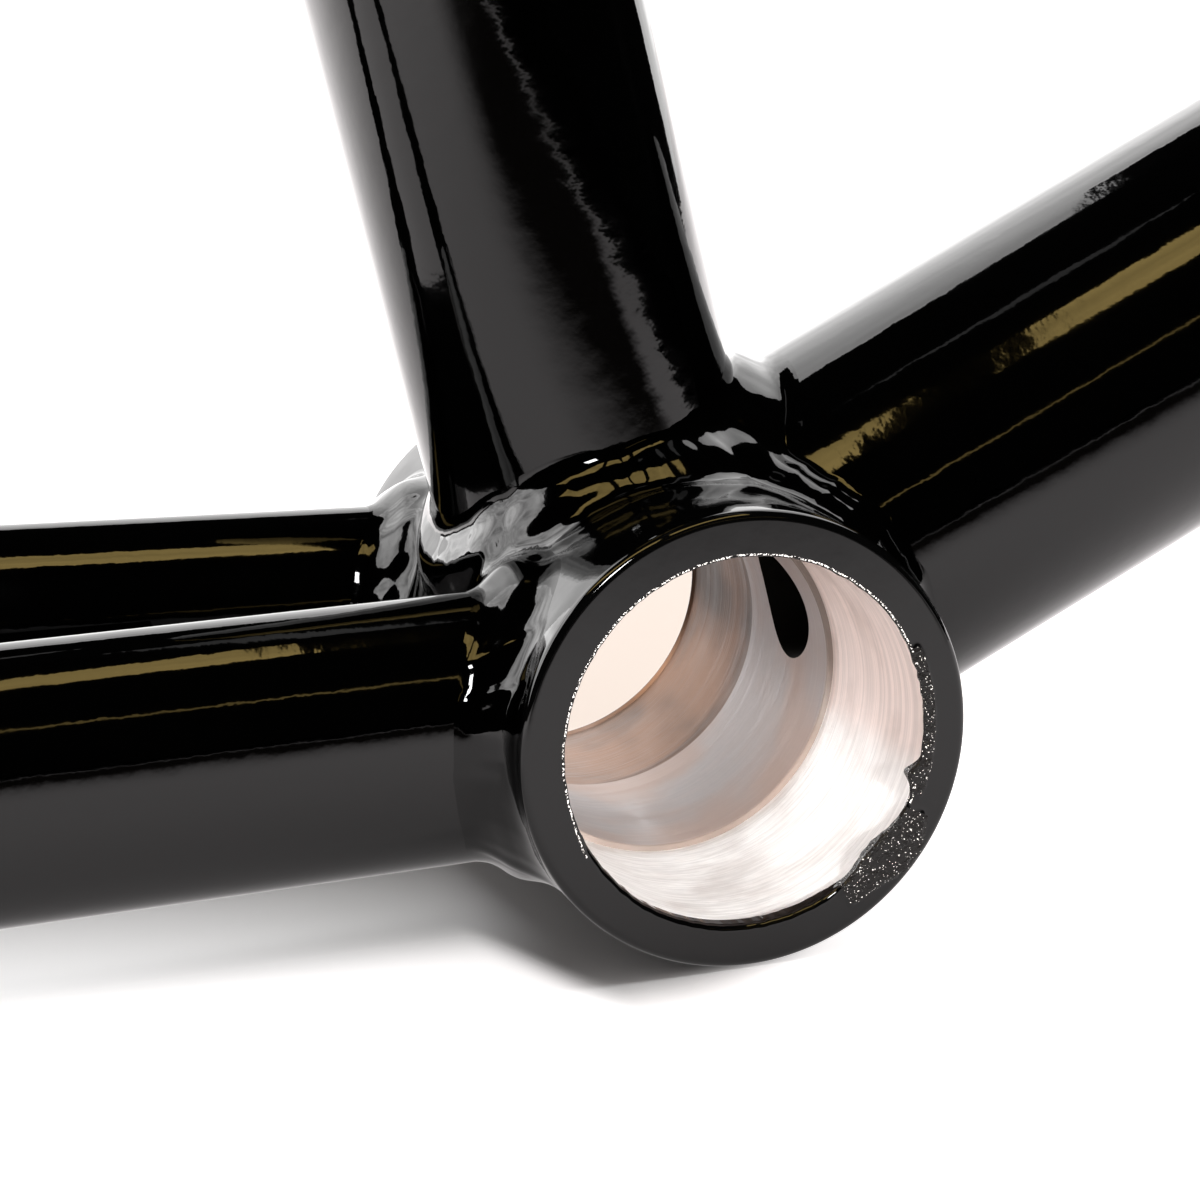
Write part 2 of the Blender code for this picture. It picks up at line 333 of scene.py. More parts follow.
def first_crossing(centre, fan):
    """Where each ray of a fan first comes out of the skin."""
    origin = centre[:, None, :]
    high = np.full(fan.shape[:2], RAY_LENGTH)
    for stop in np.arange(RAY_LENGTH - RAY_STEP, 1.4, -RAY_STEP):
        high = np.where(skin(origin + stop * fan) < 0.0, high, stop)
    low = np.maximum(high - RAY_STEP, 0.0)
    for _ in range(18):
        middle = 0.5 * (low + high)
        inside = skin(origin + middle[..., None] * fan) < 0.0
        low = np.where(inside, middle, low)
        high = np.where(inside, high, middle)
    return origin + (0.5 * (low + high))[..., None] * fan


def depth_under_neighbours(surface, weld):
    """How far to push a bead in where another bead or a bare tube is to be on top."""
    own = nearest(surface, WELD_LINES[weld][0])
    order = list(WELD_LINES)
    sink = np.zeros(own.shape)
    for other, (other_line, _) in WELD_LINES.items():
        if other != weld:
            behind = 0.08 if order.index(other) < order.index(weld) else 0.0
            sink = np.maximum(sink, 0.5 * (own - nearest(surface, other_line)) + behind)
    bare = np.full(own.shape, 9.0)
    for name in TUBES:
        distance, _, along = tube_field(surface, name)
        if name != "shell":
            distance = np.maximum(distance, TUBE_BEGINS - along)
        bare = np.minimum(bare, distance)
    return np.clip(sink, 0.0, 2.5) + 2.0 * np.clip(TOE_HEIGHT - bare, 0.0, 0.2)


def weld_piece(weld, material, rows=40):
    """The bead of one weld, closed behind by a keel inside the metal."""
    a, b, reach = JOINTS[weld].tube, JOINTS[weld].onto, JOINTS[weld].reach
    line, loop = WELD_LINES[weld]
    na = tube_field(line, a)[1]
    nb = tube_field(line, b)[1]
    out = unit(na + nb)
    ta = unit(nb - dot(na, nb)[:, None] * na)
    tb = unit(na - dot(na, nb)[:, None] * nb)
    centre = line - KEEL_DEPTH * out
    toe_a = line + reach * ta
    toe_b = line + reach * tb
    da, n1, _ = tube_field(toe_a, a)
    db, n2, _ = tube_field(toe_b, b)
    toe_a = toe_a - da[:, None] * n1
    toe_b = toe_b - db[:, None] * n2
    fan = fan_rays(unit(toe_a - centre), out, unit(toe_b - centre), rows)
    surface = first_crossing(centre, fan)
    normal = skin_normal(surface)
    surface = surface - depth_under_neighbours(surface, weld)[..., None] * normal
    tuck_a = surface[:, :1] - TUCK_DEPTH * normal[:, :1]
    tuck_b = surface[:, -1:] - TUCK_DEPTH * normal[:, -1:]
    keel = centre[:, None, :]
    points = np.concatenate([tuck_a, surface, tuck_b, keel], 1)
    normals = np.concatenate([normal[:, :1], normal, normal[:, -1:], -out[:, None, :]], 1)
    count, columns = points.shape[:2]
    faces = grid_faces(count, columns, loop, True).tolist()
    if not loop:
        faces.append(list(range(columns)))
        faces.append([(count - 1) * columns + i for i in range(columns)][::-1])
    first = points[0, columns // 2]
    across = points[0, columns // 2 + 1] - first
    along = points[1, columns // 2] - first
    if np.cross(across, along) @ normal[0, columns // 2 - 1] < 0.0:
        faces = [f[::-1] for f in faces]
    points, normals = points.reshape(-1, 3), normals.reshape(-1, 3)
    return new_object(weld + "_bead", points, faces, [material], normals=normals)


def tube_piece(name, coat, steel, cut, around_count=128, along_count=40):
    """A hollow tube with its sawn end, from the joint outwards."""
    tube = TUBES[name]
    e1, e2 = side_vectors(tube)
    d = unit(tube.direction)
    angle = np.linspace(0.0, 2.0 * math.pi, around_count, endpoint=False)
    upright = np.cos(angle)[:, None] * e1
    across = np.sin(angle)[:, None] * e2
    root = generator_hit(name, angle, "shell")
    root_s = (root - np.array(tube.start)) @ d
    if name == "seat_tube":
        other = (generator_hit(name, angle, "down_tube") - np.array(tube.start)) @ d
        distance, _, along = tube_field(root, "down_tube")
        covered = (distance < 0.0) & (along > 0.0)
        root_s = np.where(covered, np.maximum(root_s, other), root_s)
    root_s = root_s + TUBE_ROOT_GAP
    end, inner = tube.length, tube.wall
    edge, bevel = TUBE_EDGE_ROUND, TUBE_BORE_BEVEL
    sections = []
    for t in np.linspace(0.0, 1.0, along_count):
        sections.append((root_s + (end - edge - root_s) * t, 0.0, TUBE_COAT))
    for turn in np.radians((30.0, 60.0, 90.0)):
        s = end - edge + edge * math.sin(turn)
        sections.append((s, edge * (1.0 - math.cos(turn)), TUBE_COAT))
    sections.append((end, edge + 0.02, TUBE_SAWN))
    sections.append((end, inner - bevel, TUBE_SAWN))
    sections.append((end - bevel, inner, TUBE_INSIDE))
    for t in np.linspace(0.02, 1.0, 24):
        sections.append((end - bevel + (root_s - end + bevel) * t, inner, TUBE_INSIDE))
    base = np.array(tube.start)
    points = []
    for s, inset, _ in sections:
        s = np.broadcast_to(s, (around_count,))
        ring = (tube.radius - inset) * upright + (tube.half_width - inset) * across
        points.append(base + s[:, None] * d + ring)
    points = np.stack(points)
    rows = len(sections)
    faces = grid_faces(rows, around_count, True, True)
    kinds = [section[2] for section in sections]
    mesh_kind = []
    for row in range(rows):
        kind = kinds[row + 1] if row + 1 < rows else TUBE_INSIDE
        mesh_kind += [kind] * around_count
    return new_object(name + "_looks", points.reshape(-1, 3), faces, [coat, steel, cut], mesh_kind)


def window(x, low, high, soft):
    """1 between low and high, falling to 0 over a soft edge outside."""
    return smooth_step(low - soft, low, x) * (1.0 - smooth_step(high, high + soft, x))


def blurred_noise(rows, columns, seed):
    """Lumps a few points wide, from 0 to 1, that close on themselves round the columns."""
    field = np.random.RandomState(seed).rand(rows, columns)
    for _ in range(2):
        field = (field + np.roll(field, 1, 1) + np.roll(field, -1, 1)) / 3.0
        field[1:-1] = (field[:-2] + field[1:-1] + field[2:]) / 3.0
    low, high = np.percentile(field, (3, 97))
    return np.clip((field - low) / (high - low), 0.0, 1.0)


def chipped(down, radius):
    """How far the coat is lumpy and chipped on the near face, 0 to 1."""
    side = window(down, -20.0, 21.0, 5.0) * (1.0 - smooth_step(18.95, 19.45, radius))
    reach = 20.6 + 1.5 * np.exp(-(((down - 40.0) / 9.0) ** 2))
    low = window(down, 30.0, 58.0, 4.0) * (1.0 - smooth_step(reach - 0.5, reach + 0.2, radius))
    return np.maximum(side, low)


def shell_sections(angle):
    """Radius and place along the axis of the shell's section at each angle, with its surface."""
    ones = np.ones(len(angle))
    down = np.degrees(np.arctan2(-np.sin(angle), np.cos(angle)))
    rng = np.random.RandomState(5)
    ragged = np.zeros(len(angle))
    for k in range(3, 90):
        ragged += rng.normal() / k**0.5 * np.sin(k * angle + rng.uniform(0.0, 6.28))
    ragged = ragged / 3.0
    drip = np.exp(-(((down - 17.5) / 3.2) ** 2)) + 0.8 * np.exp(-(((down - 45.0) / 9.5) ** 2))
    under = window(down, 68.0, 148.0, 18.0)
    mouth = LIP_RADIUS + 0.06 * ragged - 0.92 * drip
    lip = 0.12 + 0.50 * under + 0.10 * drip
    wrap_near = 0.10 + 0.9 * drip + under * np.clip(0.80 + 0.35 * ragged, 0.05, 2.0)
    sections = []

    def add(radius, y, kind):
        sections.append((radius * ones, y * ones, kind))

    half, rim = SHELL_HALF, RIM_ROUND
    for t in np.linspace(-1.0, 1.0, 25):
        add(SHELL_RADIUS, -t * (half - rim), COAT)
    for turn in np.radians(np.linspace(15.0, 90.0, 6)):
        add(SHELL_RADIUS - rim + rim * math.cos(turn), rim - half - rim * math.sin(turn), COAT)
    outer = SHELL_RADIUS - rim - 0.05
    face_rows = 20
    rough = blurred_noise(face_rows + 6, len(angle), 71)
    for row, t in enumerate(np.linspace(0.0, 1.0, face_rows)):
        radius = outer + (mouth + lip + 0.17 - outer) * t
        lift = chipped(down, radius) * (CHIP_BASE + CHIP_HEIGHT * rough[row])
        add(radius, -half - lift, COAT)
    add(mouth + lip, -half - lift, EDGE)
    for row, turn in enumerate(np.radians(np.linspace(15.0, 90.0, 6))):
        lift = chipped(down, mouth) * (CHIP_BASE + CHIP_HEIGHT * rough[face_rows + row])
        sine, cosine = math.sin(turn), math.cos(turn)
        radius = mouth + lip * (1.0 - sine) - 0.5 * lift * sine
        add(radius, -half + lip * (1.0 - cosine) - lift * cosine, COAT)
    add(mouth, -half + lip + 0.16, EDGE)
    add(mouth + 0.05 * ragged, -half + lip + 0.2 + wrap_near, COAT)
    add(SEAT_RADIUS, -half + lip + 0.45 + wrap_near, FRINGE)
    for y in np.linspace(-half + 3.4, RIGHT_SHOULDER - 0.25, 12):
        add(SEAT_RADIUS, y, SEAT)
    add(SEAT_RADIUS, RIGHT_SHOULDER, SEAT)
    add(LAND_RADIUS + SHOULDER_BEVEL, RIGHT_SHOULDER, SHOULDER)
    add(LAND_RADIUS, RIGHT_SHOULDER + 0.15, SHOULDER)
    for y in np.linspace(RIGHT_SHOULDER + 1.2, LEFT_SHOULDER - 1.2, 16):
        add(LAND_RADIUS, y, LAND)
    add(LAND_RADIUS, LEFT_SHOULDER - 0.15, LAND)
    add(LAND_RADIUS + SHOULDER_BEVEL, LEFT_SHOULDER, SHOULDER)
    add(SEAT_RADIUS, LEFT_SHOULDER, SHOULDER)
    add(SEAT_RADIUS, LEFT_SHOULDER + 0.25, FAR_SEAT)
    for y in np.linspace(LEFT_SHOULDER + 1.0, half - 1.6, 12):
        add(SEAT_RADIUS, y, FAR_SEAT)
    add(SEAT_RADIUS, half - 0.6, FAR_SEAT)
    add(LIP_RADIUS, half - 0.35, FAR_SEAT)
    for turn in np.radians(np.linspace(90.0, 15.0, 6)):
        radius = LIP_RADIUS + FAR_LIP * (1.0 - math.sin(turn))
        add(radius, half - FAR_LIP * (1.0 - math.cos(turn)), COAT)
    for radius in np.linspace(LIP_RADIUS + 0.4, outer, 6):
        add(radius, half, COAT)
    for turn in np.radians(np.linspace(90.0, 15.0, 6)):
        add(SHELL_RADIUS - rim + rim * math.cos(turn), half - rim + rim * math.sin(turn), COAT)
    return sections


def shell_piece(materials, around_count=480):
    """The bored shell with its painted lips, bearing seats and middle land."""
    angle = np.linspace(0.0, 2.0 * math.pi, around_count, endpoint=False)
    sections = shell_sections(angle)
    points = []
    for radius, y, _ in sections:
        x, z = radius * np.cos(angle), AXIS_HEIGHT + radius * np.sin(angle)
        points.append(np.stack([x, y, z], 1))
    points = np.stack(points)
    rows = len(sections)
    faces = grid_faces(rows, around_count, True, True)
    down = np.degrees(np.arctan2(-np.sin(angle), np.cos(angle)))
    smooth_black = window(down, 72.0, 102.0, 3.0) > 0.5
    no_fringe = (window(down, 28.0, 150.0, 3.0) > 0.5) | (chipped(down, LIP_RADIUS) > 0.5)
    face_kinds = []
    for row in range(rows):
        radius, y, kind = sections[(row + 1) % rows]
        kinds = np.full(around_count, kind)
        near = y < -SHELL_HALF + 2.5
        worn = chipped(down, radius) > 0.45
        kinds[(kind == COAT) & near & worn] = CHIPPED
        kinds[(kind == FRINGE) & smooth_black] = COAT
        if kind == EDGE:
            kinds = np.where(no_fringe, np.where(worn, CHIPPED, COAT), FRINGE)
        face_kinds += kinds.tolist()
    return new_object("shell_looks", points.reshape(-1, 3), faces, materials, face_kinds)


# ---------------------------------------------------------------- materials
class Nodes:
    """Short hand for building a node tree."""

    def __init__(self, material):
        material.use_nodes = True
        self.tree = material.node_tree
        self.tree.nodes.clear()

    def add(self, kind, **settings):
        """A new node; settings that name an input set its value or link it."""
        node = self.tree.nodes.new(kind)
        for key, value in settings.items():
            if hasattr(node, key) and not isinstance(value, bpy.types.NodeSocket):
                setattr(node, key, value)
            else:
                self.put(node.inputs[key.replace("_", " ")], value)
        return node

    def put(self, socket, value):
        """Links a socket or sets its value."""
        if isinstance(value, bpy.types.NodeSocket):
            self.tree.links.new(value, socket)
        else:
            socket.default_value = value

    def maths(self, operation, *values):
        """A Math node's result."""
        node = self.tree.nodes.new("ShaderNodeMath")
        node.operation = operation
        for i, value in enumerate(values):
            self.put(node.inputs[i], value)
        return node.outputs[0]

    def ramp(self, value, low, high, out_low=0.0, out_high=1.0):
        """value from low..high turned smoothly into out_low..out_high."""
        node = self.tree.nodes.new("ShaderNodeMapRange")
        node.interpolation_type = "SMOOTHSTEP"
        for key, v in zip(range(5), (value, low, high, out_low, out_high)):
            self.put(node.inputs[key], v)
        return node.outputs[0]

    def blend(self, factor, a, b):
        """Colour a where factor is 0, b where it is 1."""
        node = self.tree.nodes.new("ShaderNodeMix")
        node.data_type = "RGBA"
        self.put(node.inputs["Factor"], factor)
        self.put(node.inputs[6], a)
        self.put(node.inputs[7], b)
        return node.outputs[2]

    def noise(self, vector, scale, detail=2.0, roughness=0.5):
        """Noise from 0 to 1 at a scale per metre."""
        node = self.tree.nodes.new("ShaderNodeTexNoise")
        self.put(node.inputs["Vector"], vector)
        node.inputs["Scale"].default_value = scale
        node.inputs["Detail"].default_value = detail
        node.inputs["Roughness"].default_value = roughness
        return node.outputs["Fac"]

    def place(self):
        """Position in the frame."""
        return self.tree.nodes.new("ShaderNodeTexCoord").outputs["Object"]

    def bump(self, height, distance):
        """A bump normal from a height field."""
        node = self.tree.nodes.new("ShaderNodeBump")
        node.inputs["Distance"].default_value = distance
        self.put(node.inputs["Height"], height)
        return node.outputs[0]

    def finish(self, **inputs):
        """The Principled shader and the output."""
        shader = self.tree.nodes.new("ShaderNodeBsdfPrincipled")
        for key, value in inputs.items():
            self.put(shader.inputs[key.replace("_", " ")], value)
        out = self.tree.nodes.new("ShaderNodeOutputMaterial")
        self.tree.links.new(shader.outputs[0], out.inputs[0])


def new_material(name):
    """An empty material and its node builder."""
    material = bpy.data.materials.new(name)
    return material, Nodes(material)


def gloss_coat(name, peel=1.0, specks=1.0, density=1.5):
    """Deep black gloss coat: orange peel, faint haze and a few pale dust specks.

    peel scales the ripple, specks the size of the dust, and density is the coat's IOR.
    """
    material, n = new_material(name)
    at = n.place()
    wave = n.noise(at, 330.0, 1.0)
    fine = n.noise(at, 1500.0, 1.0)
    height = n.maths("ADD", wave, n.maths("MULTIPLY", fine, 0.16))
    cells = n.add("ShaderNodeTexVoronoi", feature="F1", Vector=at, Scale=420.0)
    picked = n.add("ShaderNodeSeparateColor", Color=cells.outputs["Color"])
    size = n.ramp(picked.outputs[0], 0.93, 1.0, 0.0, 0.075 * specks)
    patch = n.ramp(n.noise(at, 45.0, 2.0), 0.46, 0.66, 0.25, 1.0)
    speck = n.maths("LESS_THAN", cells.outputs["Distance"], n.maths("MULTIPLY", size, patch))
    colour = n.blend(speck, (0.0003, 0.0003, 0.0003, 1.0), (0.22, 0.20, 0.18, 1.0))
    haze = n.ramp(n.noise(at, 90.0, 3.0), 0.35, 0.7, 0.035, 0.062)
    roughness = n.maths("ADD", haze, n.maths("MULTIPLY", speck, 0.4))
    n.finish(
        Base_Color=colour,
        Roughness=roughness,
        IOR=density,
        Normal=n.bump(height, 0.000024 * peel),
    )
    return material


def turned_steel(
    name, tint, roughness, pitch, depth, shine, stain, upper=None, bands=0.0, mirror=0.5
):
    """Lathe-turned bare steel with fine rings round the bore.

    pitch and depth belong to the rings, shine is how metallic it is and mirror how much it
    reflects besides. stain adds brown patches, upper is the tint above the line that the
    mouth shades, and bands lays darker and lighter stretches round the bore.
    """
    material, n = new_material(name)
    at = n.place()
    parts = n.add("ShaderNodeSeparateXYZ", Vector=at)
    up = n.maths("SUBTRACT", parts.outputs[2], AXIS_HEIGHT * MM)
    turn = n.maths("ARCTAN2", up, parts.outputs[0])
    swing = n.maths("MULTIPLY", n.maths("COSINE", turn), 0.0012)
    rings = n.add("ShaderNodeCombineXYZ", X=parts.outputs[1], Y=swing)
    coarse = n.ramp(n.noise(rings.outputs[0], 1.0 / pitch, 2.0, 0.6), 0.36, 0.64)
    fine = n.ramp(n.noise(rings.outputs[0], 3.1 / pitch, 2.0, 0.6), 0.36, 0.64)
    lines = n.maths("ADD", n.maths("MULTIPLY", coarse, 0.6), n.maths("MULTIPLY", fine, 0.4))
    cloud = n.noise(at, 150.0, 4.0)
    bright = tuple(tint) + (1.0,)
    if upper is not None:
        # Painted shade: above the line where the mouth's rim shadows the bore, the tint turns to
        # upper.
        line = n.maths("MULTIPLY_ADD", parts.outputs[1], 2.0, turn)
        bright = n.blend(n.ramp(line, -0.42, -0.22), bright, tuple(upper) + (1.0,))
    light = n.blend(n.maths("MULTIPLY_ADD", lines, -0.30, 0.30), bright, (0.0, 0.0, 0.0, 1.0))
    if bands:
        sweep = n.add("ShaderNodeCombineXYZ", X=n.maths("MULTIPLY", turn, 1.6), Y=0.3)
        sweep = n.noise(sweep.outputs[0], 1.0, 2.0)
        light = n.blend(n.ramp(sweep, 0.62, 0.40, 0.0, bands), light, (0.04, 0.03, 0.025, 1.0))
    mottled = n.blend(n.ramp(cloud, 0.42, 0.75, 0.0, 0.35), light, (0.30, 0.23, 0.20, 1.0))
    rust = n.ramp(n.noise(at, 60.0, 3.0), 0.40, 0.62, 0.0, stain)
    colour = n.blend(rust, mottled, (0.34, 0.17, 0.09, 1.0))
    rough = n.maths("ADD", roughness, n.maths("MULTIPLY", lines, 0.16))
    n.finish(
        Base_Color=colour,
        Metallic=shine,
        Specular_IOR_Level=mirror,
        Roughness=rough,
        Anisotropic=0.5,
        Normal=n.bump(lines, depth),
    )
    return material


def chipped_coat(name, cover):
    """Lumpy coat broken by bare bright flecks; cover is how much of it is bare."""
    material, n = new_material(name)
    at = n.place()
    grain = n.noise(at, 2600.0, 2.0, 0.6)
    edge = n.ramp(n.noise(at, 5200.0, 1.0), 0.70 - 0.30 * cover, 0.74 - 0.30 * cover)
    colour = n.blend(edge, (0.004, 0.0036, 0.0034, 1.0), (0.86, 0.82, 0.78, 1.0))
    n.finish(
        Base_Color=colour,
        Metallic=n.maths("MULTIPLY", edge, 0.6),
        Roughness=n.ramp(edge, 0.0, 1.0, 0.16, 0.34),
        IOR=1.35,
        Normal=n.bump(grain, 0.00022),
    )
    return material


def bare_steel(name, tint, roughness, grain=700.0):
    """Raw tube steel, dull and slightly mottled."""
    material, n = new_material(name)
    at = n.place()
    mottle = n.noise(at, grain, 5.0, 0.65)
    cloud = n.noise(at, 80.0, 3.0)
    colour = n.blend(cloud, tuple(0.6 * c for c in tint) + (1.0,), tuple(tint) + (1.0,))
    n.finish(
        Base_Color=colour,
        Metallic=0.85,
        Roughness=n.maths("ADD", roughness, n.maths("MULTIPLY", mottle, 0.2)),
        Normal=n.bump(mottle, 0.00003),
    )
    return material


def floor_material():
    """A plain pale floor, white in front and warm where it is seen through the bore.
    The white in front and far off is painted light, a glow for the camera only, and the warm
    spot is painted shade.

    Shiny things see another floor: it ends at a table's edge and has a dark patch in front,
    a painted shadow. Elsewhere it glows as painted light, most behind and to the left.
    """
    material, n = new_material("pale_floor")
    spot = n.add("ShaderNodeSeparateXYZ", Vector=n.place())
    x, y = spot.outputs[0], spot.outputs[1]
    drift = n.maths("MULTIPLY", n.maths("SUBTRACT", n.noise(n.place(), 9.0, 3.0), 0.5), 0.04)
    near = n.ramp(n.maths("ADD", y, drift), -0.705, -0.690)
    right = n.maths("MAXIMUM", n.ramp(x, 0.80, 0.83, 1.0, 0.0), n.ramp(y, 0.0, 0.1))
    table = n.maths("MULTIPLY", near, right)
    # Painted shadow: a dark patch on the floor in front, seen only by shiny things, stands for a
    # shadow cast across the floor there.
    slant = n.maths("ADD", x, n.maths("MULTIPLY_ADD", y, -0.71, -0.002))
    dark_y = n.maths("MULTIPLY", n.ramp(y, -0.68, -0.62), n.ramp(y, -0.33, -0.12, 1.0, 0.0))
    dark_x = n.maths("MULTIPLY", n.ramp(slant, -0.08, 0.10), n.ramp(x, 0.28, 0.45, 1.0, 0.0))
    dark = n.maths("MULTIPLY", dark_y, dark_x)
    grain = n.ramp(n.noise(n.place(), 40.0, 3.0), 0.3, 0.7, 0.97, 1.0)
    shade = n.blend(dark, (0.46, 0.44, 0.445, 1.0), (0.02, 0.017, 0.015, 1.0))
    seen = n.blend(table, (0.0, 0.0, 0.0, 1.0), shade)
    plain = n.blend(grain, (0.74, 0.74, 0.74, 1.0), (0.80, 0.80, 0.80, 1.0))
    # Painted light: for the camera the floor glows white in front of this line and far off, which
    # hides the object's shadow everywhere but close behind the line.
    rising = n.ramp(x, -0.01, 0.08, 0.0, 0.14)
    front = n.maths("ADD", n.ramp(x, -0.024, -0.013, -0.016, -0.038), rising)
    clear = n.ramp(n.maths("SUBTRACT", front, y), -0.006, 0.010)
    away = n.add("ShaderNodeVectorMath", operation="LENGTH")
    n.put(away.inputs[0], n.place())
    clear = n.maths("MAXIMUM", clear, n.ramp(away.outputs["Value"], 0.20, 0.40))
    # Painted shade: a warm, darker spot on the floor behind the shell, only on rays that look
    # along the camera's line through the bore.
    to_spot = n.add("ShaderNodeVectorMath", operation="DISTANCE")
    n.put(to_spot.inputs[0], n.place())
    n.put(to_spot.inputs[1], (0.028, 0.084, 0.0))
    gaze = n.add("ShaderNodeVectorMath", operation="DOT_PRODUCT")
    n.put(gaze.inputs[0], n.add("ShaderNodeNewGeometry").outputs["Incoming"])
    n.put(gaze.inputs[1], tuple(-c for c in VIEW_FORWARD))
    through_bore = n.ramp(gaze.outputs["Value"], 0.985, 0.995)
    close = n.ramp(to_spot.outputs["Value"], 0.035, 0.07, 1.0, 0.0)
    painted_shade = n.maths("MULTIPLY", close, through_bore)
    plain = n.blend(painted_shade, plain, (0.56, 0.49, 0.44, 1.0))
    path = n.add("ShaderNodeLightPath")
    glossy = path.outputs["Is Glossy Ray"]
    colour = n.blend(glossy, plain, seen)
    # Painted light: for shiny things the floor glows though it is no lamp, evenly outside the
    # painted shadow and more behind and to the left.
    behind = n.maths("MULTIPLY", n.ramp(y, -0.04, 0.30), 1.6)
    aside = n.maths("MULTIPLY", n.ramp(x, -0.45, -0.12, 1.0, 0.0), 0.7)
    even = n.maths("MULTIPLY", n.maths("SUBTRACT", 1.0, dark), 0.42)
    painted_floor_glow = n.maths("ADD", even, n.maths("ADD", behind, aside))
    lit = n.maths("MULTIPLY", n.maths("MULTIPLY", painted_floor_glow, table), glossy)
    # Painted light: the glow the camera sees on the floor outside that shadow zone.
    painted_camera_glow = n.maths("MULTIPLY", n.maths("MULTIPLY", clear, 0.9), path.outputs["Is Camera Ray"])
    lit = n.maths("ADD", lit, painted_camera_glow)
    n.finish(
        Base_Color=colour,
        Roughness=1.0,
        IOR=1.01,
        Emission_Color=(1.0, 0.97, 0.965, 1.0),
        Emission_Strength=lit,
    )
    return material


def glow_material(name, colour, strength, soft=0.0):
    """A softly uneven lit panel."""
    material, n = new_material(name)
    uneven = n.ramp(n.noise(n.place(), 0.7, 2.0), 0.2, 0.8, 1.0 - soft, 1.0 + soft)
    glow = n.add(
        "ShaderNodeEmission", Color=colour + (1.0,), Strength=n.maths("MULTIPLY", strength, uneven)
    )
    out = n.add("ShaderNodeOutputMaterial")
    n.tree.links.new(glow.outputs[0], out.inputs[0])
    return material


# ---------------------------------------------------------------- the studio
FAR = 9000.0
FLOOR_HALF = 4000.0
FLOOR_CORNERS = ((-1, -1), (1, -1), (1, 1), (-1, 1))
WHITE = (1.0, 0.99, 0.985)
OLIVE = (1.0, 0.72, 0.25)
BLACK = (0.01, 0.01, 0.01)


def only_in_reflections(thing):
    """The camera and the soft light don't see this; shiny surfaces do."""
    thing.visible_camera = False
    thing.visible_diffuse = False
    thing.visible_shadow = False
    thing.visible_transmission = False
    thing.visible_volume_scatter = False


def sky_point(azimuth, elevation, distance=FAR):
    """A point far off; azimuth 0 is towards -Y and 90 towards +X."""
    a, e = math.radians(azimuth), math.radians(elevation)
    return [
        distance * math.sin(a) * math.cos(e),
        -distance * math.cos(a) * math.cos(e),
        30.0 + distance * math.sin(e),
    ]


def panel(name, upper, lower, colour, strength, soft=0.15):
    """A lit strip between two lists of directions, both read in the same order."""
    points = [sky_point(*p) for p in upper] + [sky_point(*p) for p in lower]
    count = len(upper)
    faces = [[i, i + 1, count + i + 1, count + i] for i in range(count - 1)]
    thing = new_object(name, points, faces, [glow_material(name, colour, strength, soft)])
    thing.data.shade_flat()
    only_in_reflections(thing)


def lamp(name, azimuth, elevation, width, height, strength):
    """A small bright panel in one direction, width and height in degrees."""
    w = 0.5 * width / math.cos(math.radians(elevation))
    h = 0.5 * height
    panel(
        name,
        [(azimuth - w, elevation + h), (azimuth + w, elevation + h)],
        [(azimuth - w, elevation - h), (azimuth + w, elevation - h)],
        (1.0, 1.0, 1.0),
        strength,
        0.0,
    )


def flag(name, length):
    """A black rod that carries a tube on beyond its end, for reflections only."""
    tube = TUBES[name]
    d = unit(tube.direction)
    e1, e2 = side_vectors(tube)
    angle = np.linspace(0.0, 2.0 * math.pi, 32, endpoint=False)
    ring = tube.radius * np.cos(angle)[:, None] * e1
    ring = ring + tube.half_width * np.sin(angle)[:, None] * e2
    base = np.array(tube.start) + (tube.length + 0.5) * d
    points = np.concatenate([base + ring, base + length * d + ring])
    name = name + "_beyond"
    faces = grid_faces(2, 32, False, True)
    thing = new_object(name, points, faces, [glow_material(name, BLACK, 0.3)])
    only_in_reflections(thing)


def quad(name, corners, colour, strength):
    """One glowing four-cornered sheet, for reflections only."""
    made = new_object(name, corners, [[0, 1, 2, 3]], [glow_material(name, colour, strength)])
    only_in_reflections(made)


